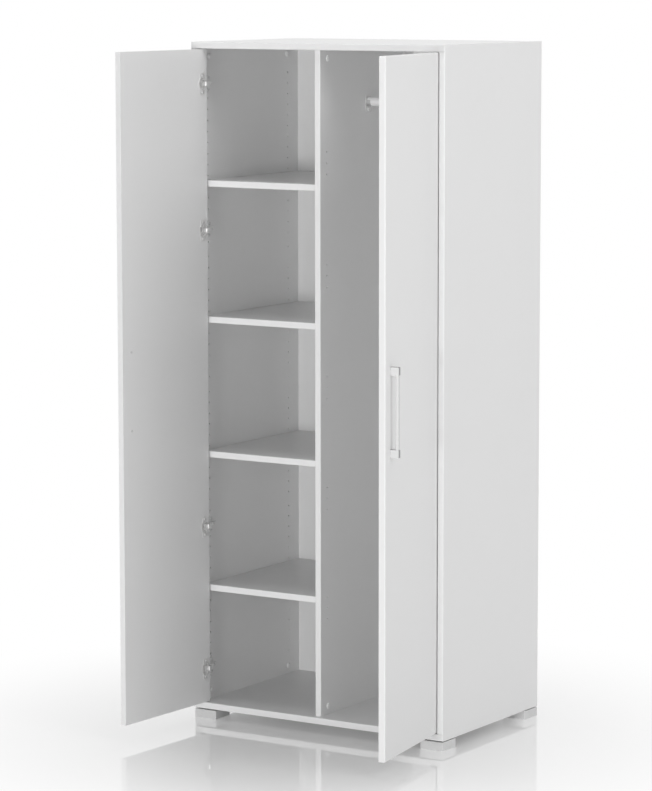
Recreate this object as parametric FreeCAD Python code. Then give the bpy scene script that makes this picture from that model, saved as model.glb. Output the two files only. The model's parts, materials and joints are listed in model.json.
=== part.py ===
import FreeCAD, Part
import math
import os

from FreeCAD import Vector

# A tall cupboard with two inset doors standing open, shelves on the left and a hanging rail on the right.
# Lengths are millimetres and angles degrees.
# Pieces are drawn with x to the right of the cupboard's middle, y back from the front edges of the sides
# and z up from the underside of the bottom board. At the end they all move together to the part's origin.

# Boards
WIDTH = 845.0
DEPTH = 551.0
CARCASS_HEIGHT = 1950.0
BOARD = 19.0
FRONT_ROUND = 2.5
DIVIDER_OFFSET = -6.0
DIVIDER_SETBACK = 21.0

# Back board, held in a groove
BACK_THICKNESS = 8.0
BACK_INSET = 6.0
GROOVE_DEPTH = 8.0
GROOVE_PLAY = 0.2

# Shelves and the rows of holes for their pins
SHELF_COUNT = 4
SHELF_FIRST = 367.0
TOP_SHELF_DROP = 398.0
SHELF_SETBACK = 27.0
SHELF_END_GAP = 1.0
SHELF_BACK_GAP = 2.0
HOLE_RADIUS = 2.5
HOLE_DEPTH = 9.0
HOLE_PITCH = 32.0
HOLE_MARGIN = 60.0
FRONT_ROW_SETBACK = 37.0
REAR_ROW_SETBACK = 56.0
PIN_PLAY = 0.05
PIN_END_PLAY = 0.5
PIN_REACH = 8.0
COLLAR_RADIUS = 4.5
COLLAR_PLAY = 0.2

# Groups of spare holes in the hanging half, as many as stand clear below the rail
GROUP_HOLES = 3
GROUP_FIRST = 331.0
GROUP_PITCH = 320.0

# Cam fittings and dowels between the boards
CAM_RADIUS = 7.5
CAM_DEPTH = 12.5
CAM_FROM_END = 24.0
CAM_FROM_FRONT = 60.0
CAM_FROM_BACK = 60.0
CAM_SLOT_WIDTH = 1.6
CAM_SLOT_DEPTH = 2.0
CAM_SLOT_LENGTH = 8.0
CAM_BOLT_RADIUS = 3.5
CAM_BOLT_BITE = 11.0
DOWEL_RADIUS = 4.0
DOWEL_IN_SIDE = 20.0
DOWEL_BITE = 10.0
DOWEL_SPACING = 32.0
FITTING_PLAY = 0.1
FITTING_END_PLAY = 0.5

# Hanging rail
RAIL_RADIUS = 12.5
RAIL_WALL = 1.5
RAIL_DROP = 153.0
RAIL_PLAY = 0.2
HOLDER_PLATE = 3.0
HOLDER_WALL = 2.5
HOLDER_REACH = 12.0
HOLDER_LIP = 5.0
HOLDER_ABOVE = 15.0
HOLDER_BELOW = 31.0
HOLDER_ROUND = 8.0
HOLDER_SCREW_DROP = 23.0

# Feet
FOOT_SIDE = 74.0
FOOT_HEIGHT = 25.0
FOOT_ROUND = 2.0
SPACER_HEIGHT = 3.0
SPACER_INSET = 8.0
FOOT_SCREW_HEAD_ROOM = 12.0

# Doors
DOOR_THICKNESS = 19.0
DOOR_GAP_MIDDLE = 3.0
DOOR_GAP_ENDS = 2.0
DOOR_ROUND = 3.0
LEFT_OPEN = 92.5
RIGHT_OPEN = 99.0

# Cup hinges
HINGE_FROM_DOOR_END = 99.0
HINGE_ABOVE_LOW_SHELF = 175.0
HINGE_BELOW_HIGH_SHELF = 125.0
PIVOT_FROM_EDGE = 9.5
SWING_CLEARANCE = 0.5
CUP_RADIUS = 17.5
CUP_DEPTH = 13.9
CUP_WALL = 0.7
CUP_EDGE = 3.0
CUP_PLAY = 0.1
FLANGE_THICKNESS = 1.2
FLANGE_EDGE = 1.5
FLANGE_HEIGHT = 62.0
FLANGE_WIDTH = 24.0
FLANGE_ROUND = 6.0
CUP_SCREW_SPACING = 48.0
EAR_WIDTH = 6.0
EAR_RISE = 3.5
HINGE_PIN_RADIUS = 1.25
HINGE_PIN_PLAY = 0.05
HINGE_PIN_SEAT = 3.6
KNUCKLE_RADIUS = 2.4
KNUCKLE_PLAY = 0.4
ARM_THICKNESS = 2.4
ARM_WIDTH = 12.0
ARM_CLEARANCE = 0.5
ARM_ROUND = 0.8
NECK_DROP = 0.6
PLATE_HEIGHT = 6.4
PLATE_LENGTH = 36.0
PLATE_WING_HEIGHT = 3.0
PLATE_WING_LENGTH = 12.0
PLATE_WING_SPAN = 50.0
PLATE_WING_ROUND = 4.0
PLATE_SCREW_SPACING = 32.0
PLATE_SCREW_DEPTH = 11.0
ARM_SCREW_SETBACK = 6.0
ARM_SCREW_DEPTH = 4.0

# Handles
HANDLE_FROM_EDGE = 39.0
HANDLE_SPACING = 224.0
POST_HEIGHT = 22.0
POST_WIDTH = 12.0
POST_REACH = 25.0
POST_ROUND = 1.0
BAR_THICKNESS = 8.0
BAR_WIDTH = 10.0
BAR_SET_IN = 1.0
BAR_ROUND = 1.5
HANDLE_SCREW_BITE = 12.0

# Screws: shank and head
SMALL_SHANK = 1.75
SMALL_HEAD = 3.4
SMALL_HEAD_HEIGHT = 1.5
SMALL_SCREW_DEPTH = 10.0
LARGE_SHANK = 2.5
LARGE_HEAD = 4.6
LARGE_HEAD_HEIGHT = 2.0
SCREW_PLAY = 0.05
RECESS_WIDTH = 1.2
RECESS_DEPTH = 0.9
RECESS_EDGE = 1.3

# Places worked out from the sizes above
HALF = WIDTH / 2
INNER = HALF - BOARD
FLOOR = BOARD
CEILING = CARCASS_HEIGHT - BOARD
MIDDLE = CARCASS_HEIGHT / 2
BACK_FACE = DEPTH - BACK_INSET - BACK_THICKNESS
DIVIDER_LEFT = DIVIDER_OFFSET - BOARD / 2
DIVIDER_RIGHT = DIVIDER_OFFSET + BOARD / 2
GROUND = -(FOOT_HEIGHT + SPACER_HEIGHT)

PIN_RADIUS = HOLE_RADIUS - PIN_PLAY
SHELF_PITCH = (CARCASS_HEIGHT - TOP_SHELF_DROP - SHELF_FIRST) / max(SHELF_COUNT - 1, 1)
SHELF_TOPS = [SHELF_FIRST + n * SHELF_PITCH for n in range(SHELF_COUNT)]
PIN_LINES = [top - BOARD - PIN_RADIUS for top in SHELF_TOPS]
BANK_HOLES = int(SHELF_PITCH // HOLE_PITCH)
HOLES_BELOW_SHELF = (BANK_HOLES - 1) // 2
HOLES_ABOVE_SHELF = BANK_HOLES - 1 - HOLES_BELOW_SHELF
FRONT_ROW = DOOR_THICKNESS + FRONT_ROW_SETBACK
REAR_ROW = BACK_FACE - REAR_ROW_SETBACK

RAIL_Y = (DIVIDER_SETBACK + BACK_FACE) / 2
RAIL_Z = CEILING - RAIL_DROP
GROUP_HALF = (GROUP_HOLES - 1) / 2 * HOLE_PITCH
GROUP_ROOM = RAIL_Z - HOLDER_BELOW - HOLE_RADIUS - GROUP_HALF - GROUP_FIRST
GROUP_COUNT = int(GROUP_ROOM // GROUP_PITCH) + 1

# The door's pin stands as deep as the cup allows.
# The gap beside the door is what its front corner needs to swing.
PIVOT_Y = DOOR_THICKNESS - CUP_DEPTH + CUP_WALL + KNUCKLE_PLAY + KNUCKLE_RADIUS
CORNER_REACH = math.hypot(PIVOT_FROM_EDGE - DOOR_ROUND, PIVOT_Y - DOOR_ROUND) + DOOR_ROUND
DOOR_GAP_SIDE = CORNER_REACH - PIVOT_FROM_EDGE + SWING_CLEARANCE
DOOR_EDGE = -INNER + DOOR_GAP_SIDE
DOOR_FREE_EDGE = -DOOR_GAP_MIDDLE / 2
PIVOT_X = DOOR_EDGE + PIVOT_FROM_EDGE
CUP_X = DOOR_EDGE + CUP_EDGE + CUP_RADIUS
DOOR_LOW = FLOOR + DOOR_GAP_ENDS
DOOR_HIGH = CEILING - DOOR_GAP_ENDS
HINGE_HEIGHTS = [
    DOOR_LOW + HINGE_FROM_DOOR_END,
    SHELF_TOPS[0] + HINGE_ABOVE_LOW_SHELF,
    SHELF_TOPS[-1] - BOARD - HINGE_BELOW_HIGH_SHELF,
    DOOR_HIGH - HINGE_FROM_DOOR_END,
]
HANDLE_X = DOOR_FREE_EDGE - HANDLE_FROM_EDGE
POST_HEIGHTS = [MIDDLE - HANDLE_SPACING / 2, MIDDLE + HANDLE_SPACING / 2]

# The farthest that the door's back corner reaches from the pin as it swings
BACK_CORNER_REACH = max(
    math.hypot(PIVOT_FROM_EDGE, DOOR_THICKNESS - PIVOT_Y),
    math.hypot(PIVOT_FROM_EDGE - FLANGE_EDGE, DOOR_THICKNESS + FLANGE_THICKNESS - PIVOT_Y),
)

ALONG_X = Vector(1, 0, 0)
ALONG_Y = Vector(0, 1, 0)
ALONG_Z = Vector(0, 0, 1)
NEAR = 1e-4


# Helpers
def box(x, y, z):
    """A block between the low and high values given for each axis."""
    return Part.makeBox(x[1] - x[0], y[1] - y[0], z[1] - z[0], Vector(x[0], y[0], z[0]))


def rod(start, direction, radius, length):
    """A round bar from a start point."""
    return Part.makeCylinder(radius, length, Vector(*start), direction)


def around(middle, size):
    """Low and high values of a span about its middle."""
    return (middle - size / 2, middle + size / 2)


def edges_along(shape, direction):
    """The straight edges of a shape that run along a direction."""
    found = []
    for edge in shape.Edges:
        run = edge.lastVertex().Point - edge.firstVertex().Point
        if run.Length > NEAR and abs(abs(run.dot(direction)) - run.Length) < NEAR:
            found.append(edge)
    return found


def front_edges(board, directions):
    """The edges of a board's front face that run along the given directions."""
    front = board.BoundBox.YMin
    found = []
    for direction in directions:
        found += [edge for edge in edges_along(board, direction) if edge.BoundBox.YMax < front + NEAR]
    return found


def soft_board(x, y, z, directions):
    """A board whose front edges are rounded."""
    board = box(x, y, z)
    return board.makeFillet(FRONT_ROUND, front_edges(board, directions))


def mirrored(shape):
    """The same piece for the other side of the cupboard."""
    return shape.mirror(Vector(0, 0, 0), ALONG_X)


def screw(seat, direction, shank, head, head_height, depth):
    """A screw with its head standing on the seat and its shank running along the direction."""
    start = Vector(*seat)
    top = start - direction * head_height
    body = Part.makeCylinder(head, head_height, top, direction)
    body = body.fuse(Part.makeCylinder(shank, depth, start, direction))
    across = ALONG_Z if abs(direction.z) < 0.5 else ALONG_X
    other = direction.cross(across)
    half_length = head - RECESS_EDGE
    recess = []
    for long_way, short_way in ((across, other), (other, across)):
        corner = top - long_way * half_length - short_way * RECESS_WIDTH / 2
        points = [
            corner,
            corner + long_way * 2 * half_length,
            corner + long_way * 2 * half_length + short_way * RECESS_WIDTH,
            corner + short_way * RECESS_WIDTH,
            corner,
        ]
        recess.append(Part.Face(Part.makePolygon(points)).extrude(direction * RECESS_DEPTH))
    return body.cut(recess).removeSplitter()


# Where the boards are joined: each joint has a side or the divider, one end of it and a place along the depth
JOINT_BOARDS = {
    "left_side": (-HALF, -INNER, 1),
    "divider": (DIVIDER_LEFT, DIVIDER_RIGHT, 1),
    "right_side": (INNER, HALF, -1),
}
JOINT_DEPTHS = ((CAM_FROM_FRONT, 1), (BACK_FACE - CAM_FROM_BACK, -1))


def fittings(play, end_play):
    """Cam discs, cam bolts and dowels of all the joints, or with play added, the holes that they need."""
    discs = []
    bolts = []
    dowels = []
    for low, high, facing in JOINT_BOARDS.values():
        centre = (low + high) / 2
        face = high if facing > 0 else low
        for end, outward in ((FLOOR, -1), (CEILING, 1)):
            cam_z = end - outward * CAM_FROM_END
            bolt_length = CAM_FROM_END - CAM_RADIUS + CAM_BOLT_BITE + end_play
            dowel_length = DOWEL_IN_SIDE + DOWEL_BITE + 2 * end_play
            for y, inward in JOINT_DEPTHS:
                inside = ALONG_X * -facing
                discs.append(rod((face, y, cam_z), inside, CAM_RADIUS + play, CAM_DEPTH + end_play))
                bolt_start = (centre, y, cam_z + outward * CAM_RADIUS)
                bolts.append(rod(bolt_start, ALONG_Z * outward, CAM_BOLT_RADIUS + play, bolt_length))
                dowel_start = (centre, y + inward * DOWEL_SPACING, end - outward * (DOWEL_IN_SIDE + end_play))
                dowels.append(rod(dowel_start, ALONG_Z * outward, DOWEL_RADIUS + play, dowel_length))
    return discs, bolts, dowels


def slotted(disc):
    """A cam disc with the slot that a screwdriver turns."""
    limits = disc.BoundBox
    facing_right = limits.Center.x < DIVIDER_RIGHT
    face = limits.XMax if facing_right else limits.XMin
    inner = face - CAM_SLOT_DEPTH if facing_right else face + CAM_SLOT_DEPTH
    span = (min(face, inner), max(face, inner))
    centre = limits.Center
    upright = box(span, around(centre.y, CAM_SLOT_WIDTH), around(centre.z, CAM_SLOT_LENGTH))
    level = box(span, around(centre.y, CAM_SLOT_LENGTH), around(centre.z, CAM_SLOT_WIDTH))
    return disc.cut([upright, level])


def row_heights():
    """Heights of the pin holes in the shelf half: a bank about each shelf, carried on to the ends."""
    heights = []
    for number, line in enumerate(PIN_LINES):
        down = HOLES_BELOW_SHELF
        up = HOLES_ABOVE_SHELF
        if number == 0:
            down = int((line - FLOOR - HOLE_MARGIN) // HOLE_PITCH)
        if number == SHELF_COUNT - 1:
            up = int((CEILING - HOLE_MARGIN - line) // HOLE_PITCH)
        heights += [line + step * HOLE_PITCH for step in range(-down, up + 1)]
    return heights


def group_heights():
    """Heights of the spare holes in the hanging half, which stand in small groups."""
    heights = []
    for group in range(GROUP_COUNT):
        low = GROUP_FIRST + group * GROUP_PITCH - GROUP_HALF
        heights += [low + step * HOLE_PITCH for step in range(GROUP_HOLES)]
    return heights


def pin_holes(face, into, heights, beside_hinges):
    """A front and a rear row of pin holes in the face of a board, clear of any hinge plates."""
    room = PLATE_WING_SPAN / 2 + HOLE_RADIUS
    holes = []
    for z in heights:
        by_hinge = beside_hinges and any(abs(z - hinge) < room for hinge in HINGE_HEIGHTS)
        for y in (REAR_ROW,) if by_hinge else (FRONT_ROW, REAR_ROW):
            holes.append(rod((face, y, z), ALONG_X * into, HOLE_RADIUS, HOLE_DEPTH))
    return holes


def plate_screw_holes(into):
    """Holes in a side for the screws of its hinge plates."""
    holes = []
    for z in HINGE_HEIGHTS:
        for dz in around(0, PLATE_SCREW_SPACING):
            start = (into * INNER, FRONT_ROW, z + dz)
            depth = PLATE_SCREW_DEPTH + PIN_END_PLAY
            holes.append(rod(start, ALONG_X * into, LARGE_SHANK + SCREW_PLAY, depth))
    return holes


# Carcass
def carcass():
    """The boards that stand still."""
    discs, bolts, dowels = fittings(FITTING_PLAY, FITTING_END_PLAY)
    joints = discs + bolts + dowels
    groove_reach = INNER + GROOVE_DEPTH
    groove = box(
        (-groove_reach, groove_reach),
        (BACK_FACE - GROOVE_PLAY, BACK_FACE + BACK_THICKNESS + GROOVE_PLAY),
        (FLOOR - GROOVE_DEPTH, CEILING + GROOVE_DEPTH),
    )
    all_round = (ALONG_X, ALONG_Z)
    top = soft_board((-HALF, HALF), (0, DEPTH), (CEILING, CARCASS_HEIGHT), all_round)
    bottom = soft_board((-HALF, HALF), (0, DEPTH), (0, FLOOR), all_round)
    left = soft_board((-HALF, -INNER), (0, DEPTH), (FLOOR, CEILING), (ALONG_Z,))
    right = mirrored(left)
    divider_depth = (DIVIDER_SETBACK, BACK_FACE)
    divider = soft_board((DIVIDER_LEFT, DIVIDER_RIGHT), divider_depth, (FLOOR, CEILING), (ALONG_Z,))
    rows = row_heights()
    groups = group_heights()
    left_cuts = pin_holes(-INNER, -1, rows, True) + plate_screw_holes(-1)
    right_cuts = pin_holes(INNER, 1, groups, True) + plate_screw_holes(1)
    divider_cuts = pin_holes(DIVIDER_LEFT, 1, rows, False) + pin_holes(DIVIDER_RIGHT, -1, groups, False)
    holder_cuts = holder_screws(SCREW_PLAY)
    foot_cuts = foot_screws(SCREW_PLAY)
    back_reach = groove_reach - GROOVE_PLAY
    return {
        "top_panel": top.cut(joints + [groove]),
        "bottom_panel": bottom.cut(joints + [groove] + foot_cuts),
        "left_side": left.cut(joints + [groove] + left_cuts),
        "right_side": right.cut(joints + [groove] + right_cuts + holder_cuts),
        "divider": divider.cut(joints + divider_cuts + holder_cuts),
        "back_panel": box(
            (-back_reach, back_reach),
            (BACK_FACE, BACK_FACE + BACK_THICKNESS),
            (FLOOR - GROOVE_DEPTH, CEILING + GROOVE_DEPTH - GROOVE_PLAY),
        ),
    }


def joint_fittings():
    """The fittings that draw the boards together."""
    discs, bolts, dowels = fittings(0, 0)
    return {"cam_discs": [slotted(disc) for disc in discs], "cam_bolts": bolts, "dowels": dowels}


# Shelves
def shelves():
    """The shelves and the pins that carry them."""
    pieces = {}
    pins = []
    across = (-INNER + SHELF_END_GAP, DIVIDER_LEFT - SHELF_END_GAP)
    depth = (SHELF_SETBACK, BACK_FACE - SHELF_BACK_GAP)
    for number, top in enumerate(SHELF_TOPS):
        pieces[f"shelf_{number + 1}"] = soft_board(across, depth, (top - BOARD, top), (ALONG_X,))
        for face, outward in ((-INNER, 1), (DIVIDER_LEFT, -1)):
            for y in (FRONT_ROW, REAR_ROW):
                pins.append(shelf_pin(face, outward, y, PIN_LINES[number]))
    pieces["shelf_pins"] = pins
    return pieces


def shelf_pin(face, outward, y, z):
    """A round pin with a thin collar against the board that it is pushed into."""
    direction = ALONG_X * outward
    sunk = HOLE_DEPTH - PIN_END_PLAY
    shaft = rod((face - outward * sunk, y, z), direction, PIN_RADIUS, sunk + PIN_REACH)
    collar = rod((face, y, z), direction, COLLAR_RADIUS, SHELF_END_GAP - COLLAR_PLAY)
    return shaft.fuse(collar).removeSplitter()


# Hanging rail
def holder(face, outward):
    """A plate with a cradle, open at the top, that the rail drops into."""
    direction = ALONG_X * outward
    seat = RAIL_RADIUS + RAIL_PLAY
    outer = seat + HOLDER_WALL
    across = around(RAIL_Y, 2 * outer)
    plate = box((0, HOLDER_PLATE), across, (RAIL_Z - HOLDER_BELOW, RAIL_Z + HOLDER_ABOVE))
    plate = plate.makeFillet(HOLDER_ROUND, edges_along(plate, ALONG_X))
    plate.translate(Vector(face if outward > 0 else face - HOLDER_PLATE, 0, 0))
    start = (face + outward * HOLDER_PLATE, RAIL_Y, RAIL_Z)
    ring = rod(start, direction, outer, HOLDER_REACH).cut(rod(start, direction, seat, HOLDER_REACH))
    lower = (RAIL_Z - outer, RAIL_Z + HOLDER_LIP)
    reach = sorted((start[0], start[0] + outward * HOLDER_REACH))
    cradle = ring.common(box(reach, across, lower))
    return plate.fuse(cradle).removeSplitter().cut(holder_screws(SCREW_PLAY))


def holder_screws(play):
    """Two screws for each holder, one behind the rail's end and one below the cradle."""
    screws = []
    for face, outward in ((DIVIDER_RIGHT, 1), (INNER, -1)):
        for z in (RAIL_Z, RAIL_Z - HOLDER_SCREW_DROP):
            seat = (face + outward * HOLDER_PLATE, RAIL_Y, z)
            length = HOLDER_PLATE + SMALL_SCREW_DEPTH + play
            if play:
                screws.append(rod(seat, ALONG_X * -outward, SMALL_SHANK + play, length))
            else:
                screws.append(
                    screw(seat, ALONG_X * -outward, SMALL_SHANK, SMALL_HEAD, SMALL_HEAD_HEIGHT, length)
                )
    return screws


def hanging_rail():
    """A round tube between two holders."""
    ends = (DIVIDER_RIGHT + HOLDER_PLATE, INNER - HOLDER_PLATE)
    start = (ends[0] + RAIL_PLAY, RAIL_Y, RAIL_Z - RAIL_PLAY)
    length = ends[1] - ends[0] - 2 * RAIL_PLAY
    tube = rod(start, ALONG_X, RAIL_RADIUS, length)
    return {
        "hanging_rail": tube.cut(rod(start, ALONG_X, RAIL_RADIUS - RAIL_WALL, length)),
        "left_rail_holder": holder(DIVIDER_RIGHT, 1),
        "right_rail_holder": holder(INNER, -1),
        "rail_holder_screws": holder_screws(0),
    }


# Feet
def foot_places():
    """Name and centre of each foot, flush with the corners of the bottom board."""
    inset = FOOT_SIDE / 2
    return {
        "front_left_foot": (-HALF + inset, inset),
        "front_right_foot": (HALF - inset, inset),
        "rear_left_foot": (-HALF + inset, DEPTH - inset),
        "rear_right_foot": (HALF - inset, DEPTH - inset),
    }


def foot_screws(play):
    """One screw up through the middle of each foot, its head sunk above the sole."""
    screws = []
    for x, y in foot_places().values():
        seat = (x, y, GROUND + FOOT_SCREW_HEAD_ROOM)
        length = -seat[2] + SMALL_SCREW_DEPTH + play
        if play:
            screws.append(rod(seat, ALONG_Z, LARGE_SHANK + play, length))
        else:
            screws.append(screw(seat, ALONG_Z, LARGE_SHANK, LARGE_HEAD, LARGE_HEAD_HEIGHT, length))
    return screws


def feet():
    """Square blocks, each below a smaller spacer that leaves a shadow gap."""
    pieces = {}
    spacers = []
    holes = foot_screws(SCREW_PLAY)
    for name, (x, y) in foot_places().items():
        block = box(around(x, FOOT_SIDE), around(y, FOOT_SIDE), (GROUND, -SPACER_HEIGHT))
        block = block.makeFillet(FOOT_ROUND, edges_along(block, ALONG_Z))
        sunk_head = rod((x, y, GROUND), ALONG_Z, LARGE_HEAD + FITTING_END_PLAY, FOOT_SCREW_HEAD_ROOM)
        pieces[name] = block.cut(holes + [sunk_head])
        side = FOOT_SIDE - 2 * SPACER_INSET
        spacers.append(box(around(x, side), around(y, side), (-SPACER_HEIGHT, 0)).cut(holes))
    pieces["foot_spacers"] = spacers
    pieces["foot_screws"] = foot_screws(0)
    return pieces


# Hinges, drawn for the left door while it is shut
def hinge_arm(z):
    """The bent arm that stays on the side: an eye on the pin, a neck, a leg out of the cup and a tail."""
    neck_high = PIVOT_Y + NECK_DROP
    neck_low = neck_high - ARM_THICKNESS
    leg_in = PIVOT_X + BACK_CORNER_REACH + ARM_CLEARANCE
    leg_out = leg_in + ARM_THICKNESS
    bridge_low = PIVOT_Y + BACK_CORNER_REACH + ARM_CLEARANCE
    bridge_high = bridge_low + ARM_THICKNESS
    tail_low = -INNER + PLATE_HEIGHT
    tail_high = tail_low + ARM_THICKNESS
    tail_end = FRONT_ROW + PLATE_LENGTH / 2
    outline = [
        (PIVOT_X, neck_low),
        (leg_out, neck_low),
        (leg_out, bridge_high),
        (tail_high, bridge_high),
        (tail_high, tail_end),
        (tail_low, tail_end),
        (tail_low, bridge_low),
        (leg_in, bridge_low),
        (leg_in, neck_high),
        (PIVOT_X, neck_high),
    ]
    low = z - ARM_WIDTH / 2
    points = [Vector(x, y, low) for x, y in outline + outline[:1]]
    strip = Part.Face(Part.makePolygon(points)).extrude(ALONG_Z * ARM_WIDTH)
    inner_bends = [(leg_in, neck_high), (leg_in, bridge_low), (tail_high, bridge_high)]
    outer_bends = [(leg_out, neck_low), (leg_out, bridge_high), (tail_low, bridge_low)]
    for bends, radius in ((inner_bends, ARM_ROUND), (outer_bends, ARM_ROUND + ARM_THICKNESS)):
        edges = [edge for edge in edges_along(strip, ALONG_Z) if stands_at(edge, bends)]
        strip = strip.makeFillet(radius, edges)
    eye = rod((PIVOT_X, PIVOT_Y, low), ALONG_Z, KNUCKLE_RADIUS, ARM_WIDTH)
    bore = rod((PIVOT_X, PIVOT_Y, low), ALONG_Z, HINGE_PIN_RADIUS + HINGE_PIN_PLAY, ARM_WIDTH)
    return strip.fuse(eye).removeSplitter().cut([bore, arm_screw(z, SCREW_PLAY)])


def stands_at(edge, places):
    """Whether an upright edge stands at one of the given places."""
    middle = edge.CenterOfMass
    return any(math.hypot(middle.x - x, middle.y - y) < NEAR for x, y in places)


def arm_screw(z, play):
    """The screw that clamps an arm's tail to its plate, or with play, the hole for it."""
    seat = (-INNER + PLATE_HEIGHT + ARM_THICKNESS, FRONT_ROW + ARM_SCREW_SETBACK, z)
    length = ARM_THICKNESS + ARM_SCREW_DEPTH + play
    if play:
        return rod(seat, -ALONG_X, SMALL_SHANK + play, length)
    return screw(seat, -ALONG_X, SMALL_SHANK, SMALL_HEAD, SMALL_HEAD_HEIGHT, length)


def hinge_plate(z):
    """The plate under an arm's tail: a raised bar with two wings for the screws into the side."""
    bar = box(
        (-INNER, -INNER + PLATE_HEIGHT),
        around(FRONT_ROW, PLATE_LENGTH),
        around(z, ARM_WIDTH),
    )
    wings = box(
        (-INNER, -INNER + PLATE_WING_HEIGHT),
        around(FRONT_ROW, PLATE_WING_LENGTH),
        around(z, PLATE_WING_SPAN),
    )
    wings = wings.makeFillet(PLATE_WING_ROUND, edges_along(wings, ALONG_X))
    holes = [arm_screw(z, SCREW_PLAY)]
    for dz in around(0, PLATE_SCREW_SPACING):
        start = (-INNER, FRONT_ROW, z + dz)
        holes.append(rod(start, ALONG_X, LARGE_SHANK + SCREW_PLAY, PLATE_WING_HEIGHT))
    return bar.fuse(wings).removeSplitter().cut(holes)


def plate_screws(z):
    """The two screws of a hinge plate."""
    screws = []
    for dz in around(0, PLATE_SCREW_SPACING):
        seat = (-INNER + PLATE_WING_HEIGHT, FRONT_ROW, z + dz)
        depth = PLATE_WING_HEIGHT + PLATE_SCREW_DEPTH
        screws.append(screw(seat, -ALONG_X, LARGE_SHANK, LARGE_HEAD, LARGE_HEAD_HEIGHT, depth))
    return screws


def hinge_cup(z):
    """The cup sunk into the door, with its flange and the two ears that hold the pin."""
    mouth = DOOR_THICKNESS
    base = mouth - CUP_DEPTH
    top = mouth + FLANGE_THICKNESS
    outside = rod((CUP_X, base, z), ALONG_Y, CUP_RADIUS, CUP_DEPTH)
    rim = rod((CUP_X, mouth, z), ALONG_Y, CUP_RADIUS + CUP_EDGE - FLANGE_EDGE, FLANGE_THICKNESS)
    flange = box(around(CUP_X, FLANGE_WIDTH), (mouth, top), around(z, FLANGE_HEIGHT))
    flange = flange.makeFillet(FLANGE_ROUND, edges_along(flange, ALONG_Y))
    hollow = rod((CUP_X, base + CUP_WALL, z), ALONG_Y, CUP_RADIUS - CUP_WALL, CUP_DEPTH + FLANGE_THICKNESS)
    cup = outside.fuse([rim, flange]).removeSplitter().cut(hollow)
    inside = ARM_WIDTH / 2 + KNUCKLE_PLAY
    ears = []
    for low, high in ((-CUP_RADIUS, -inside), (inside, CUP_RADIUS)):
        block = box(around(PIVOT_X, EAR_WIDTH), (base, PIVOT_Y + EAR_RISE), (z + low, z + high))
        ears.append(block.common(outside))
    cup = cup.fuse(ears).removeSplitter()
    return cup.cut([hinge_pin(z, SCREW_PLAY)] + cup_screws(z, SCREW_PLAY))


def hinge_pin(z, play):
    """The pin through an arm's eye, its ends seated in the cup's ears."""
    length = ARM_WIDTH + 2 * (KNUCKLE_PLAY + HINGE_PIN_SEAT + play)
    return rod((PIVOT_X, PIVOT_Y, z - length / 2), ALONG_Z, HINGE_PIN_RADIUS + play, length)


def cup_screws(z, play):
    """The two screws of a cup's flange, or with play, the holes for them."""
    screws = []
    for dz in around(0, CUP_SCREW_SPACING):
        seat = (CUP_X, DOOR_THICKNESS + FLANGE_THICKNESS, z + dz)
        length = FLANGE_THICKNESS + SMALL_SCREW_DEPTH + play
        if play:
            screws.append(rod(seat, -ALONG_Y, SMALL_SHANK + play, length))
        else:
            screws.append(screw(seat, -ALONG_Y, SMALL_SHANK, SMALL_HEAD, SMALL_HEAD_HEIGHT, length))
    return screws


# Doors and handles, drawn for the left door while it is shut
def door_panel():
    """A door with its cup sinkings and screw holes."""
    panel = box((DOOR_EDGE, DOOR_FREE_EDGE), (0, DOOR_THICKNESS), (DOOR_LOW, DOOR_HIGH))
    panel = panel.makeFillet(DOOR_ROUND, front_edges(panel, (ALONG_X, ALONG_Z)))
    cuts = []
    for z in HINGE_HEIGHTS:
        depth = CUP_DEPTH + CUP_PLAY
        cuts.append(rod((CUP_X, DOOR_THICKNESS - depth, z), ALONG_Y, CUP_RADIUS + CUP_PLAY, depth))
        cuts += cup_screws(z, SCREW_PLAY)
    return panel.cut(cuts + handle_screws(SCREW_PLAY))


def handle_screws(play):
    """The screws that hold the handle posts from inside the door, or with play, the holes for them."""
    screws = []
    for z in POST_HEIGHTS:
        seat = (HANDLE_X, DOOR_THICKNESS, z)
        length = DOOR_THICKNESS + HANDLE_SCREW_BITE + play
        if play:
            screws.append(rod(seat, -ALONG_Y, SMALL_SHANK + play, length))
        else:
            screws.append(screw(seat, -ALONG_Y, SMALL_SHANK, SMALL_HEAD, SMALL_HEAD_HEIGHT, length))
    return screws


def handle_posts():
    """The two blocks that carry the handle's bar."""
    posts = []
    for z in POST_HEIGHTS:
        post = box(around(HANDLE_X, POST_WIDTH), (-POST_REACH, 0), around(z, POST_HEIGHT))
        post = post.makeFillet(POST_ROUND, front_edges(post, (ALONG_X, ALONG_Z)))
        posts.append(post.cut(handle_screws(SCREW_PLAY)))
    return posts


def handle_bar():
    """The bar between the posts, a little in from their ends."""
    outer = -POST_REACH + BAR_SET_IN
    upright = (POST_HEIGHTS[0] + POST_HEIGHT / 2, POST_HEIGHTS[1] - POST_HEIGHT / 2)
    bar = box(around(HANDLE_X, BAR_WIDTH), (outer, outer + BAR_THICKNESS), upright)
    return bar.makeFillet(BAR_ROUND, edges_along(bar, ALONG_Z))


def door_pieces(side):
    """All that swings with a door, for the left door while it is shut."""
    pieces = {
        f"{side}_door": door_panel(),
        f"{side}_hinge_pins": [hinge_pin(z, 0) for z in HINGE_HEIGHTS],
        f"{side}_cup_screws": [piece for z in HINGE_HEIGHTS for piece in cup_screws(z, 0)],
        f"{side}_handle_bar": handle_bar(),
        f"{side}_handle_posts": handle_posts(),
        f"{side}_handle_screws": handle_screws(0),
    }
    for number, z in enumerate(HINGE_HEIGHTS):
        pieces[f"{side}_hinge_cup_{number + 1}"] = hinge_cup(z)
    return pieces


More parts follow.
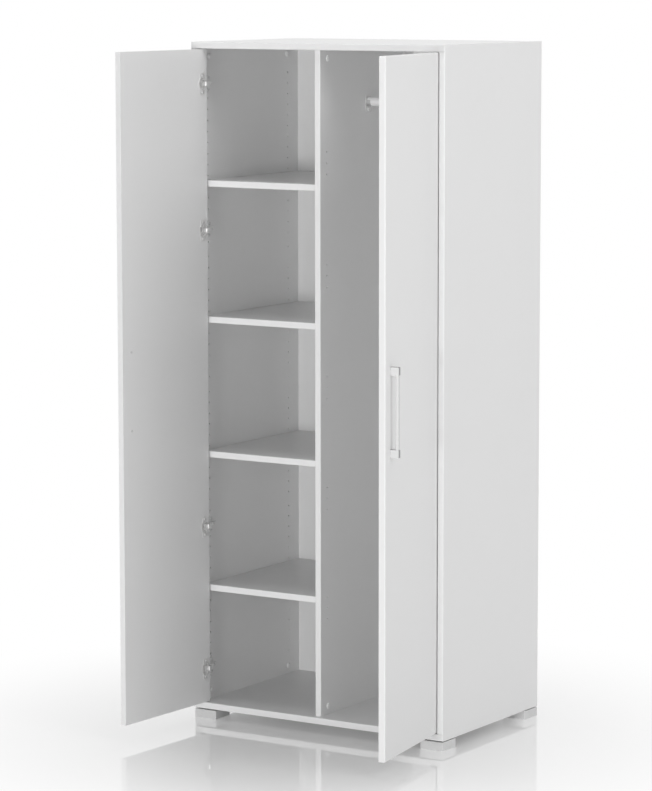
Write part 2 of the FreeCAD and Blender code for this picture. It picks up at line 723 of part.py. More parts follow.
def side_pieces(side):
    """What each side carries of its hinges, drawn for the left side."""
    pieces = {
        f"{side}_hinge_plates": [hinge_plate(z) for z in HINGE_HEIGHTS],
        f"{side}_plate_screws": [piece for z in HINGE_HEIGHTS for piece in plate_screws(z)],
        f"{side}_arm_screws": [arm_screw(z, 0) for z in HINGE_HEIGHTS],
    }
    for number, z in enumerate(HINGE_HEIGHTS):
        pieces[f"{side}_hinge_arm_{number + 1}"] = hinge_arm(z)
    return pieces


# Assembly
def as_list(pieces):
    """The solids of a node, whether it is one piece or a group."""
    return pieces if isinstance(pieces, list) else [pieces]


def changed(pieces, change):
    """The same nodes with a change made to each solid."""
    return {name: [change(solid) for solid in as_list(group)] for name, group in pieces.items()}


def opened(pivot_x, angle):
    """A change that turns a solid about an upright door pin."""
    def turn(solid):
        turned = solid.copy()
        turned.rotate(Vector(pivot_x, PIVOT_Y, 0), ALONG_Z, angle)
        return turned
    return turn


def assembly():
    """Every node of the cupboard with its doors open."""
    nodes = {}
    for group in (carcass(), joint_fittings(), shelves(), hanging_rail(), feet(), side_pieces("left")):
        nodes.update(changed(group, Part.Shape.copy))
    nodes.update(changed(side_pieces("right"), mirrored))
    nodes.update(changed(door_pieces("left"), opened(PIVOT_X, -LEFT_OPEN)))
    right_door = changed(door_pieces("right"), mirrored)
    nodes.update(changed(right_door, opened(-PIVOT_X, RIGHT_OPEN)))
    return nodes


def to_origin(nodes):
    """The move that puts the origin on the ground below the part's middle, to the nearest millimetre."""
    limits = FreeCAD.BoundBox()
    for group in nodes.values():
        for solid in group:
            limits.add(solid.BoundBox)
    return Vector(-round(limits.Center.x), -round(limits.Center.y), -GROUND)


def save(nodes):
    """One file for each node, all moved to the part's origin."""
    os.makedirs("parts", exist_ok=True)
    move = to_origin(nodes)
    for name, group in nodes.items():
        shape = group[0] if len(group) == 1 else Part.makeCompound(group)
        shape.translate(move)
        shape.exportStep(f"parts/{name}.step")
    print(f"{len(nodes)} nodes, {sum(len(group) for group in nodes.values())} solids")
    print(f"drawn origin moved by {move.x:.0f}, {move.y:.0f}, {move.z:.0f}")
    print(f"door pins at x {-abs(PIVOT_X):.4f} and {abs(PIVOT_X):.4f}, y {PIVOT_Y:.4f} as drawn")


save(assembly())
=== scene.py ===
# %% [markdown]
# A tall white cupboard stands with both doors open: shelves in the left half, a hanging rail in the
# right. Its boards, hinges and fittings come in at their true size and place, so this lesson only dresses
# them. It gives each finish the small detail of the real one, adds the little covers that close the
# fittings, and then sets up the camera and a bright photographer's studio round the cupboard.

# %% Load the cupboard
import json
import math

import bmesh
import bpy
from mathutils import Matrix, Vector


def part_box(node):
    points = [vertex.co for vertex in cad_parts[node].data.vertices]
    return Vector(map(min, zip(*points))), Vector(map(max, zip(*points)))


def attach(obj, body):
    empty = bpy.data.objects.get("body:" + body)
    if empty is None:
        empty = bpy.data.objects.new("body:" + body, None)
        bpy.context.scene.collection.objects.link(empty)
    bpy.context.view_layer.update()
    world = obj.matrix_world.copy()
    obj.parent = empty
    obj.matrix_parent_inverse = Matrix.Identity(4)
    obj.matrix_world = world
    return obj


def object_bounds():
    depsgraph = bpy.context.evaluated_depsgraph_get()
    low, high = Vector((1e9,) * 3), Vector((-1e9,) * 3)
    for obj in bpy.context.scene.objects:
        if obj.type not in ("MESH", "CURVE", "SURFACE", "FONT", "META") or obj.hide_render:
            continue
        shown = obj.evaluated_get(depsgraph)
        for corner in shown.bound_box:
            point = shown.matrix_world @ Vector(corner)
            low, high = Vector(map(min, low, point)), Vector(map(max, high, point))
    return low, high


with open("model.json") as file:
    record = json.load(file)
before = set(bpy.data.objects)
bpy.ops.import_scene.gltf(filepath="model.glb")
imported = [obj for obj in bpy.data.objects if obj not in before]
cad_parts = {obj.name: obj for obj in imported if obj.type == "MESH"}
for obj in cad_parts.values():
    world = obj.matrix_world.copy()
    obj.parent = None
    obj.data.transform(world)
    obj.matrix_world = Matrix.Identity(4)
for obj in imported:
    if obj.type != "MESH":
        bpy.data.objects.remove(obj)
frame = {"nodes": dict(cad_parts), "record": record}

nodes = frame["nodes"]
record = frame["record"]
cad_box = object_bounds()
print("nodes", len(nodes), "size", [round(high - low, 3) for low, high in zip(*cad_box)])

# %% [markdown]
# A finish here is a small network of shader nodes. Wiring such a network by hand in code is long and hard
# to read, so one class wraps a socket and lets Python's own arithmetic add the Math nodes. One method
# adds any other node: its settings go first, because some of them decide which sockets exist.

# %% A socket that does arithmetic
class Wire:
    """A socket in a finish. Arithmetic on it adds Math nodes to the same network."""

    def __init__(self, tree, socket=None):
        self.tree = tree
        self.socket = socket

    def node(self, kind, settings, sockets, output=0):
        """Add a node, set it up, feed its sockets with values or wires, and return one of its outputs."""
        made = self.tree.nodes.new(kind)
        for name, value in settings.items():
            setattr(made, name, value)
        for name, value in sockets.items():
            if isinstance(value, Wire):
                self.tree.links.new(value.socket, made.inputs[name])
            else:
                made.inputs[name].default_value = value
        return Wire(self.tree, made.outputs[output] if made.outputs else None)

    def beside(self, output):
        """Another output of the node that this socket belongs to."""
        return Wire(self.tree, self.socket.node.outputs[output])

    def math(self, operation, *values):
        return self.node("ShaderNodeMath", {"operation": operation}, dict(enumerate(values)))

    def __add__(self, other):
        return self.math("ADD", self, other)

    __radd__ = __add__

    def __mul__(self, other):
        return self.math("MULTIPLY", self, other)

    __rmul__ = __mul__

    def __sub__(self, other):
        return self.math("SUBTRACT", self, other)

    def __rsub__(self, other):
        return self.math("SUBTRACT", other, self)

    def axis(self, letter):
        """One coordinate of a vector."""
        return self.node("ShaderNodeSeparateXYZ", {}, {"Vector": self}, letter)

    def ramp(self, low, high):
        """0 below the low value, 1 above the high one and a soft slope between, or the other way round."""
        sockets = {"Value": self, "From Min": low, "From Max": high}
        return self.node("ShaderNodeMapRange", {"interpolation_type": "SMOOTHSTEP"}, sockets)


def empty_network(owner):
    """Clear the network of a material or of the world, and return a wire that adds nodes to it."""
    owner.use_nodes = True
    owner.node_tree.nodes.clear()
    return Wire(owner.node_tree)


def new_finish(name):
    """A new material and its Object coordinates, in metres from the part's origin."""
    material = bpy.data.materials.new(name)
    place = empty_network(material).node("ShaderNodeTexCoord", {}, {}, "Object")
    return material, place


print("wire class ready")

# %% [markdown]
# Nearly every real surface is a base colour with uneven gloss and a little relief. Three helpers say that
# in one line each: a cloudy pattern of a given grain size, a slide between two colours, and a bump of a
# given depth. Another plugs them into one shader and closes the network. Pictures of real surfaces could
# do the same, but they repeat and have one fixed scale, while clouds are sharp at any distance. Two more
# helpers, in a cell of their own, find the nodes that wear a slot and put a finish on them.

# %% Helpers for finishes
# A Mix node has a pair of inputs for each kind of value, so those for colours are picked by number
MIX_SHARE, MIX_FIRST, MIX_SECOND = 0, 6, 7
MIX_RESULT = 2


def clouds(place, grain, detail, stretch=(1, 1, 1)):
    """A cloudy pattern from 0 to 1 in lumps about one grain across, drawn out along an axis at will."""
    scale = [1 / (grain * s) for s in stretch]
    drawn = place.node("ShaderNodeMapping", {}, {"Vector": place, "Scale": scale})
    return place.node("ShaderNodeTexNoise", {}, {"Vector": drawn, "Scale": 1.0, "Detail": detail})


def slide(share, first, second):
    """A colour between two, by share. Either may be a wire or a colour."""
    sockets = {MIX_SHARE: share, MIX_FIRST: first, MIX_SECOND: second}
    return share.node("ShaderNodeMix", {"data_type": "RGBA"}, sockets, MIX_RESULT)


def grey(level, tint=(0, 0, 0)):
    """A grey as a colour, with a slight tint added."""
    return [level + t for t in tint] + [1.0]


def relief(height, depth, under=None):
    """A normal for a height from 0 to 1 times a depth in metres, on top of an earlier relief if given."""
    sockets = {"Height": height, "Distance": depth}
    if under:
        sockets["Normal"] = under
    return height.node("ShaderNodeBump", {}, sockets)


def close(place, **sockets):
    """Feed one shader and the network's end. Names are the shader's sockets with _ for each space."""
    named = {name.replace("_", " "): value for name, value in sockets.items()}
    shader = place.node("ShaderNodeBsdfPrincipled", {}, named)
    place.node("ShaderNodeOutputMaterial", {}, {"Surface": shader})


print("finish helpers ready")

# %% Helpers for dressing
def wearers(slot):
    """The nodes that the record gives a slot to."""
    return [part["node"] for part in record["subparts"] if part["material_slot"] == slot]


def dress(names, material):
    """Put a finish on the named nodes."""
    for name in names:
        nodes[name].material_slots[0].material = material
    print(material.name, "on", len(names), "nodes")


print("slots", len({part["material_slot"] for part in record["subparts"]}))

# %% [markdown]
# The boards are chipboard with a white resin face. The face is pressed against a steel plate with a fine
# pebble, so it is satin and never a mirror. A pebble of about a millimetre over a slower press mark of
# some six gives that satin, and broad faint clouds in tone and gloss keep a two-metre board from looking
# like flat paint.
#
# Such boards have a strip of plastic glued along the edges that show from the front. In the photo those
# edges are whiter than the faces, so the strip is whiter here and a little glossier. It could be a piece
# of its own, but it is thinner than a fingernail, so the finish finds it by the way the surface looks: out
# of the front on the fixed boards, and along its own width on a door. A door stands turned, so each door
# gets a material of its own.
#
# Faces that look up inside the cupboard are a little greyer: painted shade, as they are darker than
# these lamps alone make them. Why isn't known, so the finish simply follows the photo there and is a
# little greyer.

# %% White faced board
MM = 0.001
UP = (0.0, 0.0, 1.0)
WHITE = 0.86
EDGE_WHITE = 0.94
UPWARD_SHADE_GREY = 0.77
HANDLED_TINT = (0.004, 0.002, -0.004)
TOP_OF_ALL = cad_box[1][2]


def looking(place, direction):
    """How much a surface looks along a direction: 1 straight along it, 0 square to it, -1 away from it."""
    sockets = {0: place.beside("Normal"), 1: direction}
    return place.node("ShaderNodeVectorMath", {"operation": "DOT_PRODUCT"}, sockets, "Value")


def facing(place, direction):
    """1 where a surface looks along a direction, 0 where it looks another way, and a soft slope between."""
    return looking(place, direction).ramp(0.6, 0.9)


def white_board(name, banded):
    """The boards' finish, with strips on the edges that look along the banded direction or against it."""
    material, place = new_finish(name)
    along = looking(place, banded)
    edge = along.math("ABSOLUTE", along).ramp(0.4, 0.8)
    inside = place.axis("Z").ramp(TOP_OF_ALL - 10 * MM, TOP_OF_ALL - 20 * MM)
    upward_shade = facing(place, UP) * inside
    tone = clouds(place, 180 * MM, detail=3.0)
    handled = clouds(place, 35 * MM, detail=4.0)
    pebble = clouds(place, 0.9 * MM, detail=2.0)
    press = clouds(place, 6 * MM, detail=2.0)
    colour = slide(tone, grey(WHITE - 0.008), grey(WHITE + 0.008))
    colour = slide(handled.ramp(0.6, 0.85) * 0.25, colour, grey(WHITE - 0.05, HANDLED_TINT))
    # painted shade: up-facing faces inside the cupboard greyer, varied with the handled clouds
    colour = slide(upward_shade * (0.8 + handled * 0.3), colour, grey(UPWARD_SHADE_GREY))
    colour = slide(edge * (0.9 + tone * 0.1), colour, grey(EDGE_WHITE))
    rough = tone * 0.06 + handled * 0.08 + pebble * 0.05 + 0.27 - edge * 0.06
    fine = relief(pebble, depth=0.02 * MM)
    coarse = relief(press, depth=0.03 * MM, under=fine)
    close(place, Base_Color=colour, Roughness=rough, Normal=coarse, IOR=1.46)
    return material


def door_front(joint):
    """The way that a door's front looks as it rests, opened from shut by the joint's lower limit."""
    turn = math.radians(-joint["range_deg"][0] * joint["axis"][2])
    return (math.sin(turn), -math.cos(turn), 0.0)


door_fronts = {joint["child"]: door_front(joint) for joint in record["behaviour"]["joints"]}
fixed = [name for name in wearers("white_board") if name not in door_fronts]
dress(fixed, white_board("white_board", (0.0, 1.0, 0.0)))
for door, (x, y, z) in door_fronts.items():
    dress([door], white_board("white_" + door, (y, -x, z)))

# %% [markdown]
# The back is a thin board slid into grooves. It has the same white face on a thinner, softer core, so its
# pebble is coarser and its gloss lower, and at this size it shows a slight waviness. The wave could be
# modelled, but it is only a third of a millimetre deep, so relief in the finish is enough.

# %% Back board
BACK_WHITE = 0.84


def back_board():
    material, place = new_finish("back_board")
    tone = clouds(place, 240 * MM, detail=3.0)
    pebble = clouds(place, 1.4 * MM, detail=3.0)
    wave = clouds(place, 120 * MM, detail=1.0)
    colour = slide(tone, grey(BACK_WHITE - 0.012), grey(BACK_WHITE + 0.01))
    rough = pebble * 0.1 + tone * 0.06 + 0.38
    fine = relief(pebble, depth=0.03 * MM)
    wavy = relief(wave, depth=0.3 * MM, under=fine)
    close(place, Base_Color=colour, Roughness=rough, Normal=wavy, IOR=1.46)
    return material


dress(wearers("back_board"), back_board())

# %% [markdown]
# The hinges are pressed steel with bright nickel plate. Pressing leaves fine drawn lines and the plate is
# a little cloudy, so the roughness follows thin stretched clouds and stays low. Full metal would mirror
# the grey inside of the cupboard, so the metal share was brought down until the tone came near the
# photo's.

# %% Nickel plate
def nickel_steel():
    material, place = new_finish("nickel_steel")
    haze = clouds(place, 6 * MM, detail=3.0)
    drawn = clouds(place, 0.25 * MM, detail=2.0, stretch=(1, 1, 24))
    colour = slide(haze, grey(0.84, (0.006, 0.003, -0.004)), grey(0.91))
    rough = haze * 0.1 + drawn * 0.08 + 0.28
    lines = relief(drawn, depth=0.004 * MM)
    close(place, Base_Color=colour, Metallic=0.45, Roughness=rough, Normal=lines)
    return material


dress(wearers("nickel_steel"), nickel_steel())

# %% [markdown]
# Screws and pins are zinc plated: greyer than nickel and mottled, with a fine crystal that dulls the
# shine. Two sizes of cloud give mottle and crystal. The metal share follows the photo here too.

# %% Zinc plated screws
def screw_steel():
    material, place = new_finish("screw_steel")
    mottle = clouds(place, 1.2 * MM, detail=4.0)
    crystal = clouds(place, 0.2 * MM, detail=2.0)
    colour = slide(mottle, grey(0.72, (-0.004, 0.0, 0.008)), grey(0.84, (0.008, 0.004, -0.006)))
    rough = mottle * 0.16 + crystal * 0.1 + 0.22
    grains = relief(crystal, depth=0.006 * MM)
    close(place, Base_Color=colour, Metallic=0.6, Roughness=rough, Normal=grains)
    return material


dress(wearers("screw_steel"), screw_steel())

# %% [markdown]
# The cams that draw the boards together are die-cast zinc. A casting has a bright but grainy skin, and
# the screwdriver that turns a cam rubs it lightly, so one cloud gives the grain and a larger one the
# rubbed patches.

# %% Die-cast cams
def cam_zinc():
    material, place = new_finish("cam_zinc")
    grain = clouds(place, 0.5 * MM, detail=3.0)
    rubbed = clouds(place, 4 * MM, detail=3.0)
    colour = slide(rubbed, grey(0.72), grey(0.84))
    rough = grain * 0.14 + (1 - rubbed) * 0.14 + 0.16
    skin = relief(grain, depth=0.015 * MM)
    close(place, Base_Color=colour, Metallic=1.0, Roughness=rough, Normal=skin)
    return material


dress(wearers("cam_zinc"), cam_zinc())

# %% [markdown]
# The dowels are turned beech: pale, warm wood with short flecks along the grain, which runs up each
# dowel. Clouds drawn out in height give both the grain and the flecks, with no picture of wood needed.

# %% Beech
BEECH_LIGHT = (0.70, 0.53, 0.35, 1.0)
BEECH_DARK = (0.55, 0.38, 0.22, 1.0)


def beech():
    material, place = new_finish("beech")
    grain = clouds(place, 0.6 * MM, detail=4.0, stretch=(1, 1, 14))
    fleck = clouds(place, 0.3 * MM, detail=2.0, stretch=(1, 1, 6)).ramp(0.62, 0.72)
    colour = slide(grain, BEECH_LIGHT, BEECH_DARK)
    colour = slide(fleck * 0.5, colour, BEECH_DARK)
    fibres = relief(grain, depth=0.04 * MM)
    close(place, Base_Color=colour, Roughness=grain * 0.2 + 0.5, Normal=fibres)
    return material


dress(wearers("beech"), beech())

# %% [markdown]
# The rail is steel tube in a silver-white lacquer, which keeps its pale tone even deep inside the
# cupboard, where chrome would only mirror the grey around it. Lacquer is a colour under a clear gloss, so
# the metal share is small and a thin coat lies on top. Hanger hooks dull it in fine lines round the tube,
# along its upper half.

# %% Lacquered rail
def rail_lacquer():
    material, place = new_finish("rail_lacquer")
    low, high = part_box("hanging_rail")
    upper = place.axis("Z").ramp((low[2] + high[2]) / 2, high[2])
    flake = clouds(place, 0.3 * MM, detail=2.0)
    smudge = clouds(place, 30 * MM, detail=3.0)
    hooks = clouds(place, 0.5 * MM, detail=2.0, stretch=(1, 40, 40)).ramp(0.55, 0.8) * upper
    colour = slide(flake, grey(0.92), grey(0.96))
    colour = slide(hooks * 0.3, colour, grey(0.80))
    rough = smudge * 0.08 + hooks * 0.15 + 0.3
    close(
        place,
        Base_Color=colour,
        Metallic=0.1,
        Roughness=rough,
        Normal=relief(flake, depth=0.004 * MM),
        Coat_Weight=0.2 - hooks * 0.15,
        Coat_Roughness=0.12,
    )
    return material


dress(wearers("rail_lacquer"), rail_lacquer())

# %% [markdown]
# The rail's holders are die-cast too, but tumbled and plated satin, so the grain is softer and even. They
# get a material of their own and not the cams', because they show.

# %% Satin holders
def holder_zinc():
    material, place = new_finish("holder_zinc")
    grain = clouds(place, 0.4 * MM, detail=2.0)
    haze = clouds(place, 9 * MM, detail=3.0)
    colour = slide(haze, grey(0.72), grey(0.80))
    rough = grain * 0.1 + haze * 0.08 + 0.24
    skin = relief(grain, depth=0.01 * MM)
    close(place, Base_Color=colour, Metallic=1.0, Roughness=rough, Normal=skin)
    return material


dress(wearers("holder_zinc"), holder_zinc())

# %% [markdown]
# The feet are moulded in light grey plastic with a fine spark-etched skin. Sweeping and mopping scuff
# such feet near the floor. The scuffs could be painted by hand, but clouds drawn out sideways and faded
# with height put them in the right band on all four feet at once.

# %% Moulded feet
FOOT_GREY = 0.72
SCUFF_HEIGHT = 0.012


def foot_plastic():
    material, place = new_finish("foot_plastic")
    etched = clouds(place, 0.35 * MM, detail=2.0)
    tone = clouds(place, 25 * MM, detail=3.0)
    low = place.axis("Z").ramp(SCUFF_HEIGHT, 0)
    scuffs = clouds(place, 1.5 * MM, detail=3.0, stretch=(6, 6, 1)).ramp(0.5, 0.75) * low
    colour = slide(tone, grey(FOOT_GREY - 0.02), grey(FOOT_GREY + 0.02))
    colour = slide(scuffs * 0.6, colour, grey(0.58))
    rough = etched * 0.1 + scuffs * 0.2 + 0.36
    skin = relief(etched, depth=0.02 * MM)
    close(place, Base_Color=colour, Roughness=rough, Normal=skin, IOR=1.5)
    return material


dress(wearers("foot_plastic"), foot_plastic())

# %% [markdown]
# Between each foot and the bottom board sits a thin spacer, which makes the cupboard seem to float.
# It is matt plastic with the same etched skin and a bloom of dust, painted near black as painted shade
# for the shadow gap over each foot. Plain black would look like a hole, so the dust lifts it in patches.

# %% Dark spacers
def spacer_plastic():
    material, place = new_finish("spacer_plastic")
    etched = clouds(place, 0.35 * MM, detail=2.0)
    dust = clouds(place, 7 * MM, detail=4.0)
    # near-black colour: painted shade for the shadow gap over the foot, lifted by dust in patches
    colour = slide(dust.ramp(0.45, 0.8) * 0.5, grey(0.10), grey(0.20))
    skin = relief(etched, depth=0.02 * MM)
    close(place, Base_Color=colour, Roughness=etched * 0.12 + 0.55, Normal=skin)
    return material


dress(wearers("spacer_plastic"), spacer_plastic())

# %% [markdown]
# The handles are light metal, brushed along the bar and then given a pale silver lacquer, so they are
# nearly as light as the doors and never flash like bare metal. The brush lines could be real grooves, but
# they are far too fine to model, so they are clouds drawn out a hundred times in height. Hands polish a
# handle in patches, which show as smoother ones.

# %% Brushed handle bars
HANDLE_METAL_SHARE = 0.3


def handle_metal(name):
    """The start of a handle's finish: its material, coordinates, colour, roughness and brush lines."""
    material, place = new_finish(name)
    brushed = clouds(place, 0.2 * MM, detail=3.0, stretch=(1, 1, 100))
    polished = clouds(place, 40 * MM, detail=2.0)
    colour = slide(brushed, grey(0.63), grey(0.71))
    rough = brushed * 0.12 + (1 - polished) * 0.1 + 0.36
    return material, place, colour, rough, relief(brushed, depth=0.006 * MM)


bar, place, colour, rough, lines = handle_metal("handle_bar")
close(place, Base_Color=colour, Metallic=HANDLE_METAL_SHARE, Roughness=rough, Normal=lines)
dress([name for name in wearers("handle_metal") if name.endswith("bar")], bar)

# %% [markdown]
# The posts that carry a bar are cut from the same metal. Their upper and outer faces are darkened as
# painted shade, a thin dark outline along each post. What makes it isn't known, so the finish only
# follows the photo and darkens those faces. The way a surface looks picks them out again, once for each
# door.

# %% Handle posts
OUTER_SHADE_GREY = 0.30
UPPER_SHADE_GREY = 0.10

for door, front in door_fronts.items():
    posts, place, colour, rough, lines = handle_metal(door + "_handle_posts")
    upper = facing(place, UP)
    outer_shade = facing(place, front)
    close(
        place,
        # painted shade on the upper and outer faces of each post
        Base_Color=slide(upper, slide(outer_shade, colour, grey(OUTER_SHADE_GREY)), grey(UPPER_SHADE_GREY)),
        Metallic=HANDLE_METAL_SHARE,
        Roughness=rough - outer_shade * 0.1,
        Normal=lines,
    )
    dress([door.replace("door", "handle_posts")], posts)

# %% [markdown]
# The cams sit in round holes at the ends of the upright boards. A small white cap is pressed over each,
# which hides the screwdriver slot and shows as a bright dot. A cap could be turned as a profile, but its
# shape is so simple that a short cylinder does: three insets, each lifted a little, make the crown, one
# inset underneath keeps the rim tight to the board, and a subdivided surface rounds it all off.

# %% Tools for modelling
def choose_faces(piece, wanted):
    """In edit mode, select only the faces that a test picks, by their centre or normal."""
    bpy.context.tool_settings.mesh_select_mode = (False, False, True)
    bpy.ops.mesh.select_all(action="DESELECT")
    shape = bmesh.from_edit_mesh(piece.data)
    for face in shape.faces:
        face.select_set(wanted(face))
    bmesh.update_edit_mesh(piece.data)


def settle(piece):
    """Move a piece's place and turn into its mesh, so that its object sits at the origin."""
    bpy.ops.object.select_all(action="DESELECT")
    piece.select_set(True)
    bpy.context.view_layer.objects.active = piece
    bpy.ops.object.transform_apply(location=True, rotation=True, scale=True)


print("modelling tools ready")

# %% One cap
CAP_RADIUS = 8.5 * MM
CAP_SIDES = 20
CAP_RIM = 1.4 * MM
CAP_UNDERSIDE = 0.4 * MM
CAP_CROWN = ((1.0 * MM, 0.9 * MM), (1.8 * MM, 0.8 * MM), (2.4 * MM, 0.4 * MM))
CAP_ROUNDING = 2
FLAT = 0.9
SHARPEST_SMOOTH = math.radians(50)


def one_cap():
    """A cap on its own, flat on the ground with its crown up."""
    bpy.ops.object.select_all(action="DESELECT")
    bpy.ops.mesh.primitive_cylinder_add(
        vertices=CAP_SIDES, radius=CAP_RADIUS, depth=CAP_RIM, location=(0, 0, CAP_RIM / 2)
    )
    cap = bpy.context.active_object
    bpy.ops.object.mode_set(mode="EDIT")
    choose_faces(cap, lambda face: face.normal.z < -FLAT)
    bpy.ops.mesh.inset(thickness=CAP_UNDERSIDE, depth=0.0)
    choose_faces(cap, lambda face: face.normal.z > FLAT)
    for inward, rise in CAP_CROWN:
        bpy.ops.mesh.inset(thickness=inward, depth=rise)
    bpy.ops.object.mode_set(mode="OBJECT")
    rounded = cap.modifiers.new("rounded", "SUBSURF")
    rounded.levels = CAP_ROUNDING
    rounded.render_levels = CAP_ROUNDING
    bpy.ops.object.modifier_apply(modifier="rounded")
    bpy.ops.object.shade_smooth_by_angle(angle=SHARPEST_SMOOTH)
    settle(cap)
    return cap


cap = one_cap()
print("cap", [round(v / MM, 2) for v in cap.dimensions], "mm", len(cap.data.polygons), "faces")

# %% [markdown]
# The caps are moulded in the same plastic as the feet, in a whiter batch: smooth, with faint clouds where
# the melt flowed, and a soft gloss. A copy of the feet's finish would bring their scuffs along, so the
# caps get their own.

# %% Cap plastic
CAP_WHITE = 0.94


def cap_plastic():
    material, place = new_finish("cap_plastic")
    flow = clouds(place, 3 * MM, detail=3.0)
    etched = clouds(place, 0.3 * MM, detail=2.0)
    colour = slide(flow, grey(CAP_WHITE - 0.02), grey(CAP_WHITE + 0.01))
    rough = etched * 0.06 + flow * 0.08 + 0.24
    skin = relief(etched, depth=0.006 * MM)
    close(place, Base_Color=colour, Roughness=rough, Normal=skin, IOR=1.5)
    return material


cap.data.materials.append(cap_plastic())
print("cap finish ready")

# %% [markdown]
# The cam holes give the caps their places: two depths and two heights on the inner face of each upright
# board. Their middles lie one cam radius inside the box round all the cams, so no place is typed in by
# hand. The first cap is copied to each, with a mesh of its own, and turned so that its crown looks away
# from the board.

# %% Caps over the cams
CAM_RADIUS = 7.5 * MM
QUARTER_TURN = math.radians(90)


def press_on(number, board, place, turn):
    """Copy the cap to a place on a board and fix it to the cupboard."""
    copy = cap.copy()
    copy.data = cap.data.copy()
    copy.name = f"cam_cap_{board}_{number}"
    bpy.context.scene.collection.objects.link(copy)
    copy.location = place
    copy.rotation_euler = (0.0, turn, 0.0)
    settle(copy)
    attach(copy, "carcass")
    return copy


cam_low, cam_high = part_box("cam_discs")
depths = (cam_low[1] + CAM_RADIUS, cam_high[1] - CAM_RADIUS)
heights = (cam_low[2] + CAM_RADIUS, cam_high[2] - CAM_RADIUS)
spots = [(y, z) for y in depths for z in heights]
boards = {
    "left_side": (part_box("left_side")[1][0], QUARTER_TURN),
    "divider": (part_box("divider")[1][0], QUARTER_TURN),
    "right_side": (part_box("right_side")[0][0], -QUARTER_TURN),
}
caps = []
for board, (face, turn) in boards.items():
    for number, (y, z) in enumerate(spots, 1):
        caps.append(press_on(number, board, (face, y, z), turn))
bpy.data.objects.remove(cap)
print("caps", len(caps), "crown", round(caps[0].dimensions.x / MM, 2), "mm high")

# %% [markdown]
# The camera stands where the photographer's stood: to the right of the cupboard, a little above its top
# and far back with a long lens, so that upright edges stay nearly parallel. Position and angles were
# found by fitting the cupboard's straight edges to the picture. Aiming with angles and not with a target
# object keeps the camera free of constraints.

# %% Camera
CAMERA_PLACE = (5.0884, -8.1029, 2.1938)
CAMERA_YAW = 32.322
CAMERA_PITCH = 7.265
CAMERA_ROLL = -0.063
FOCAL_PIXELS = 3370.3
PICTURE_WIDTH = 652
SENSOR = 36.0


def look(yaw, pitch, roll):
    """A turn that looks along +Y, then left by yaw, down by pitch and rolled about the line of sight."""
    heading = Matrix.Rotation(math.radians(yaw), 4, "Z")
    tilt = Matrix.Rotation(math.radians(-pitch), 4, "X")
    level = Matrix.Rotation(math.radians(90), 4, "X")
    lean = Matrix.Rotation(math.radians(roll), 4, "Z")
    return heading @ tilt @ level @ lean


lens = bpy.data.cameras.new("camera")
lens.sensor_fit = "HORIZONTAL"
lens.sensor_width = SENSOR
lens.lens = FOCAL_PIXELS * SENSOR / PICTURE_WIDTH
camera = bpy.data.objects.new("camera", lens)
camera.matrix_world = Matrix.Translation(CAMERA_PLACE) @ look(CAMERA_YAW, CAMERA_PITCH, CAMERA_ROLL)
bpy.context.scene.collection.objects.link(camera)
bpy.context.scene.camera = camera
print("lens", round(lens.lens, 2), "mm")

# %% [markdown]
# The studio floor is a pale sheet with a light polish. Near the cupboard it takes shadow and shows a
# faint mirror image. Further off it fades to plain white, so no horizon shows, and close in a small share
# of that white stays. The shares of mirror and white were set until shadow and image came near the
# photo's. Both are only for what the camera and shiny things see: other rays still meet a plain floor, so
# they add no light to the cupboard.

# %% Floor
FLOOR_SIZE = 120.0
FLOOR_GREY = 0.9
FLOOR_MIRROR = 0.35
FADE_FROM = 0.3
FADE_TO = 1.5
NEAR_WHITE = 0.16


def seen_only(wire):
    """1 for rays that show a surface to the eye: from the camera, by a reflection or through glass."""
    camera_ray = wire.node("ShaderNodeLightPath", {}, {}, "Is Camera Ray")
    mirrored = camera_ray.math("MAXIMUM", camera_ray, camera_ray.beside("Is Glossy Ray"))
    return mirrored.math("MAXIMUM", mirrored, camera_ray.beside("Is Transmission Ray"))


def floor_finish():
    material, place = new_finish("studio_floor")
    far = place.node("ShaderNodeVectorMath", {"operation": "LENGTH"}, {0: place}, "Value")
    tone = clouds(place, 400 * MM, detail=3.0)
    colour = slide(tone, grey(FLOOR_GREY - 0.006), grey(FLOOR_GREY + 0.006))
    seen = seen_only(place)
    sheet = place.node(
        "ShaderNodeBsdfPrincipled",
        {},
        {"Base Color": colour, "Roughness": tone * 0.02 + 0.02, "Metallic": seen * FLOOR_MIRROR, "IOR": 1.45},
    )
    white = place.node("ShaderNodeEmission", {}, {"Color": grey(1.0), "Strength": 1.0})
    share = (far.ramp(FADE_FROM, FADE_TO) * (1 - NEAR_WHITE) + NEAR_WHITE) * seen
    mixed = place.node("ShaderNodeMixShader", {}, {0: share, 1: sheet, 2: white})
    place.node("ShaderNodeOutputMaterial", {}, {"Surface": mixed})
    return material


bpy.ops.object.select_all(action="DESELECT")
bpy.ops.mesh.primitive_plane_add(size=FLOOR_SIZE, location=(0, 0, 0))
floor = bpy.context.active_object
floor.name = "studio_floor"
floor.data.materials.append(floor_finish())
print("floor", FLOOR_SIZE, "m square")

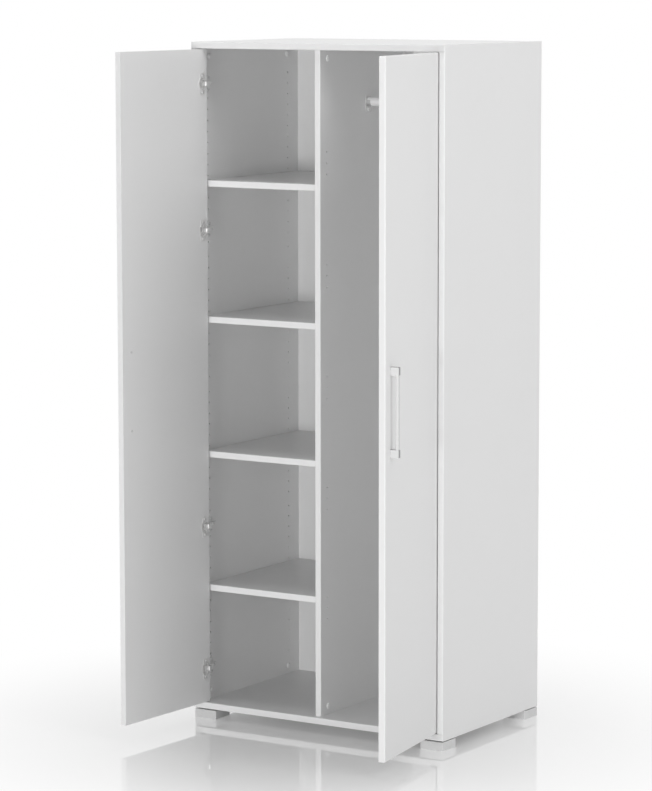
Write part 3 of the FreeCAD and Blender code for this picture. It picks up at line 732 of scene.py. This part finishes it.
# %% [markdown]
# White furniture lit evenly from all round turns to chalk, with nothing to tell one face from the next.
# So the room is seen as full white but lights the cupboard at little over a quarter of that. A far panel
# in front reaches deep between the shelves and brightens the board edges. Panels above and to the right
# light the top and the right side, and a nearer one in front opens the shadow inside the left half. Two
# more, on the left and behind, don't show from here but keep the hidden sides white when seen from there.
#
# Places and strengths were set until the greys came near the photo's. Four panels are left out of
# reflections, because a lamp mirrored in the floor would look like a bright sheet lying there.

# %% Studio light
ROOM_LIGHT = 0.28
MIDDLE = (0, 0, 1.0)


def room():
    world = bpy.data.worlds.new("studio")
    bpy.context.scene.world = world
    start = empty_network(world)
    strength = seen_only(start) * (1.0 - ROOM_LIGHT) + ROOM_LIGHT
    light = start.node("ShaderNodeBackground", {}, {"Color": grey(1.0), "Strength": strength})
    start.node("ShaderNodeOutputWorld", {}, {"Surface": light})


def soft_panel(name, place, size, watts, mirrored=True):
    """A square soft lamp, its size in metres, at a place and facing the middle of the cupboard."""
    lamp = bpy.data.lights.new(name, "AREA")
    lamp.size = size
    lamp.energy = watts
    panel = bpy.data.objects.new(name, lamp)
    panel.location = place
    panel.rotation_euler = (Vector(MIDDLE) - Vector(place)).to_track_quat("-Z", "Y").to_euler()
    panel.visible_glossy = mirrored
    bpy.context.scene.collection.objects.link(panel)


room()
soft_panel("far_front_panel", place=(2.5, -15.5, 1.1), size=2.5, watts=760)
soft_panel("near_front_panel", place=(4.5, -5.5, 1.4), size=3.0, watts=28)
soft_panel("high_right_panel", place=(5.0, -1.0, 5.0), size=3.0, watts=103, mirrored=False)
soft_panel("right_panel", place=(7.0, -0.4, 1.4), size=3.0, watts=33)
soft_panel("overhead_panel", place=(0.0, 0.2, 7.0), size=4.0, watts=108, mirrored=False)
soft_panel("left_panel", place=(-7.0, 0.0, 1.6), size=3.0, watts=100, mirrored=False)
soft_panel("rear_panel", place=(0.0, 7.0, 1.8), size=3.0, watts=110, mirrored=False)
bpy.context.scene.view_settings.view_transform = "Standard"
